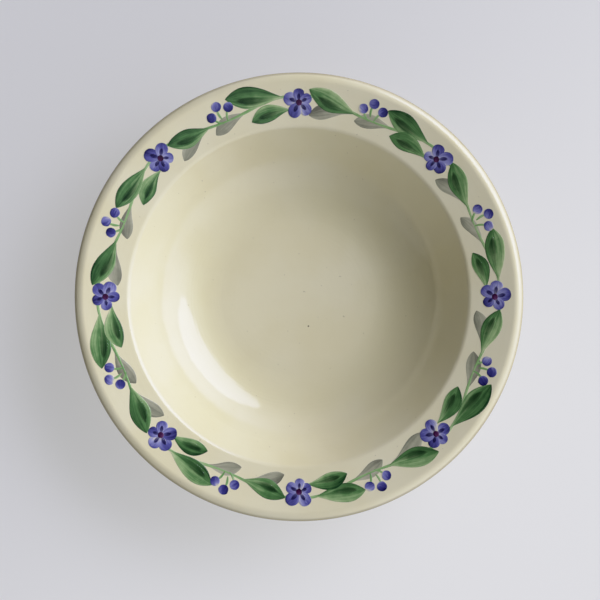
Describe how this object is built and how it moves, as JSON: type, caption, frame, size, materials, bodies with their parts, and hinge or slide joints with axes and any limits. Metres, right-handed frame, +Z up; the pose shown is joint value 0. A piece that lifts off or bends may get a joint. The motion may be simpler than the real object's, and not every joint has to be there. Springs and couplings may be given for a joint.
{
  "type": "soup bowl",
  "caption": "Round stoneware soup bowl with a deep well, a wide sloping rim, a foot ring and a brush-painted vine border under a glossy cream glaze.",
  "frame": {"origin": "middle of the circle that the foot ring stands on", "axes": "+Z up along the bowl's axis of revolution, out of its mouth; +X and +Y across it, with a flower of the border on +X"},
  "size_m": [0.23, 0.23, 0.049],
  "materials": {
    "stoneware": "matt unglazed clay",
    "cream_glaze": "glossy cream glaze",
    "vine_green": "brushed ceramic colour, glossy",
    "leaf_green": "brushed ceramic colour, glossy",
    "dark_green": "brushed ceramic colour, glossy",
    "grey": "brushed ceramic colour, glossy",
    "violet": "brushed ceramic colour, glossy",
    "deep_blue": "brushed ceramic colour, glossy",
    "plum": "brushed ceramic colour, glossy",
    "berry_blue": "brushed ceramic colour, glossy"
  },
  "bodies": {
    "root": {"clay_body": "stoneware", "glaze_coat": "cream_glaze", "base_glaze": "cream_glaze", "vine": "vine_green", "leaves": "leaf_green", "leaf_shading": "dark_green", "grey_leaves": "grey", "petals": "violet", "petal_streaks": "deep_blue", "flower_eyes": "plum", "berries": "berry_blue"}
  },
  "joints": []
}
